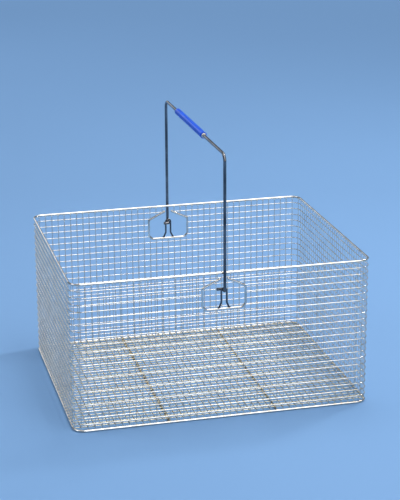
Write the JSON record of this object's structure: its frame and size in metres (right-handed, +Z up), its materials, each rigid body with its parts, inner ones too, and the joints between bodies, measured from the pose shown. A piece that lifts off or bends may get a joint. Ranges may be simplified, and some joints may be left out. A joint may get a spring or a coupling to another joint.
{
  "type": "autoclave basket",
  "caption": "Rectangular welded wire mesh basket for sterilising labware, with a swinging wire bail and a plastic tube grip.",
  "frame": {"origin": "centre of the footprint, on the surface that the basket stands on", "axes": "+X along the long walls, +Y across them towards the back wall, +Z up"},
  "size_m": [0.4, 0.3296, 0.361],
  "materials": {
    "frame_steel": "bright electropolished stainless wire",
    "mesh_steel": "bright electropolished stainless mesh wire",
    "bail_steel": "polished stainless wire",
    "grip_plastic": "smooth blue plastic tube"
  },
  "bodies": {
    "basket": {"rim_wire": "frame_steel", "base_wire": "frame_steel", "left_support_wire": "frame_steel", "right_support_wire": "frame_steel", "front_window_frame": "frame_steel", "back_window_frame": "frame_steel", "front_pivot_staple": "frame_steel", "back_pivot_staple": "frame_steel", "front_wall_rows": "mesh_steel", "front_wall_uprights": "mesh_steel", "back_wall_rows": "mesh_steel", "back_wall_uprights": "mesh_steel", "left_wall_rows": "mesh_steel", "left_wall_uprights": "mesh_steel", "right_wall_rows": "mesh_steel", "right_wall_uprights": "mesh_steel", "front_left_corner_rows": "mesh_steel", "front_right_corner_rows": "mesh_steel", "back_left_corner_rows": "mesh_steel", "back_right_corner_rows": "mesh_steel", "corner_uprights": "mesh_steel", "floor_long_wires": "mesh_steel", "floor_cross_wires": "mesh_steel"},
    "bail": {"bail": "bail_steel"},
    "grip": {"grip": "grip_plastic"}
  },
  "joints": [
    {"name": "bail_swing", "type": "hinge", "parent": "basket", "child": "bail", "pos_m": [0, 0, 0.1765], "axis": [0, 1, 0], "range_deg": [-81, 81]},
    {"name": "grip_spin", "type": "hinge", "parent": "bail", "child": "grip", "pos_m": [0, 0, 0.3565], "axis": [0, 1, 0], "continuous": true}
  ]
}
